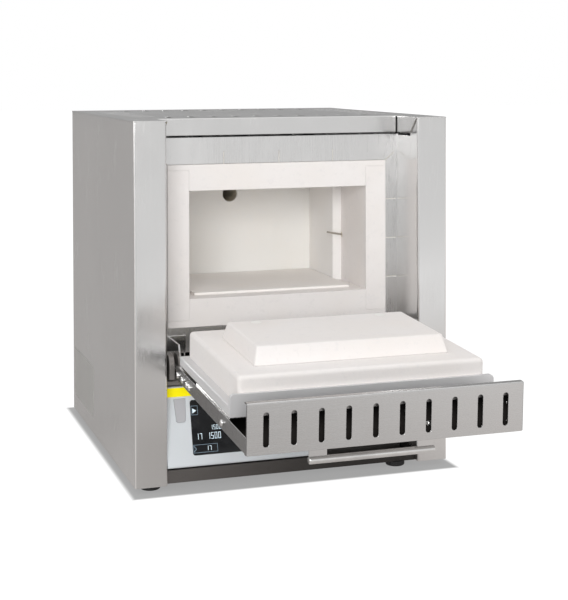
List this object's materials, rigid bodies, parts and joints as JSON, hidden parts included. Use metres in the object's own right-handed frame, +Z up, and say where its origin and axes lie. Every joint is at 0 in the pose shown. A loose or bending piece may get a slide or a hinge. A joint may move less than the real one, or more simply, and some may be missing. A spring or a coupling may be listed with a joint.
{
  "type": "muffle furnace",
  "caption": "Bench muffle furnace: stainless casing with two pillars, white fibre chamber, flap door lying open on side hinges, slotted door strip, handle bar and leaning control panel.",
  "frame": {"origin": "on the bench, under the middle of the outline with the door open", "axes": "+X to the right seen from the front, +Y from the open door to the rear, +Z up"},
  "size_m": [0.385, 0.7272, 0.4216],
  "materials": {
    "stainless": "brushed stainless sheet",
    "collar_steel": "pale satin stainless sheet",
    "tray_steel": "light satin steel",
    "polished_steel": "polished",
    "dark_metal": "dark satin paint",
    "muffle_fibre": "matte white vacuum-formed fibre",
    "door_fibre": "matte white vacuum-formed fibre",
    "backup_board": "matte insulation board",
    "heater_ceramic": "matte",
    "hearth_ceramic": "matte",
    "tube_ceramic": "matte",
    "heater_wire": "oxidised",
    "probe_metal": "satin",
    "housing_white": "satin light grey-white",
    "accent_yellow": "satin",
    "display_glass": "gloss black",
    "board_green": "matte",
    "flap_grey": "matte",
    "black_plastic": "satin",
    "terminal_beige": "matte",
    "heatsink_aluminium": "satin",
    "foot_rubber": "matte"
  },
  "bodies": {
    "furnace_body": {"left_side_panel": "stainless", "right_side_panel": "stainless", "top_panel": "stainless", "rear_panel": "stainless", "inner_casing": "stainless", "muffle_stands": "stainless", "hinge_brackets": "stainless", "exhaust_spigot": "stainless", "pillar_plates": "stainless", "front_collar": "collar_steel", "hinge_pins": "polished_steel", "rear_screws": "polished_steel", "base_pan": "dark_metal", "door_sill": "dark_metal", "control_bulkhead": "dark_metal", "lower_fascia": "dark_metal", "hinge_clevises": "dark_metal", "muffle_roof": "muffle_fibre", "muffle_floor": "muffle_fibre", "muffle_left_wall": "muffle_fibre", "muffle_right_wall": "muffle_fibre", "muffle_rear_wall": "muffle_fibre", "backup_board_top": "backup_board", "backup_board_bottom": "backup_board", "backup_board_left": "backup_board", "backup_board_right": "backup_board", "backup_board_rear": "backup_board", "heater_plates": "heater_ceramic", "hearth_plate": "hearth_ceramic", "exhaust_tube": "tube_ceramic", "thermocouple_tube": "tube_ceramic", "thermocouple_head": "tube_ceramic", "heater_terminals": "tube_ceramic", "heating_wires": "heater_wire", "thermocouple": "probe_metal", "control_housing": "housing_white", "accent_strip": "accent_yellow", "display_glass": "display_glass", "display_module": "board_green", "control_board": "board_green", "usb_socket": "polished_steel", "switch_frame": "black_plastic", "power_inlet": "black_plastic", "power_relay": "black_plastic", "terminal_block": "terminal_beige", "relay_heatsink": "heatsink_aluminium", "feet": "foot_rubber"},
    "door": {"door_outer_panel": "stainless", "door_tray": "tray_steel", "door_slab": "door_fibre", "door_plug": "door_fibre", "door_fibre_caps": "door_fibre", "door_studs": "tube_ceramic", "tray_brackets": "stainless", "hinge_arms": "stainless", "door_screws": "polished_steel", "handle_bracket": "stainless", "handle_rod": "polished_steel"},
    "usb_cover": {"usb_flap": "flap_grey"},
    "mains_rocker": {"switch_rocker": "black_plastic"}
  },
  "joints": [
    {"name": "door_hinge", "type": "hinge", "parent": "furnace_body", "child": "door", "pos_m": [0, -0.06831, 0.1373], "axis": [-1, 0, 0], "range_deg": [0, 93]},
    {"name": "usb_flap_hinge", "type": "hinge", "parent": "furnace_body", "child": "usb_cover", "pos_m": [-0.13575, -0.05973, 0.09941], "axis": [-1, 0, 0], "range_deg": [0, 90]},
    {"name": "mains_switch", "type": "hinge", "parent": "furnace_body", "child": "mains_rocker", "pos_m": [0.1, -0.05036, 0.066], "axis": [-1, 0, 0], "range_deg": [0, 18]}
  ]
}
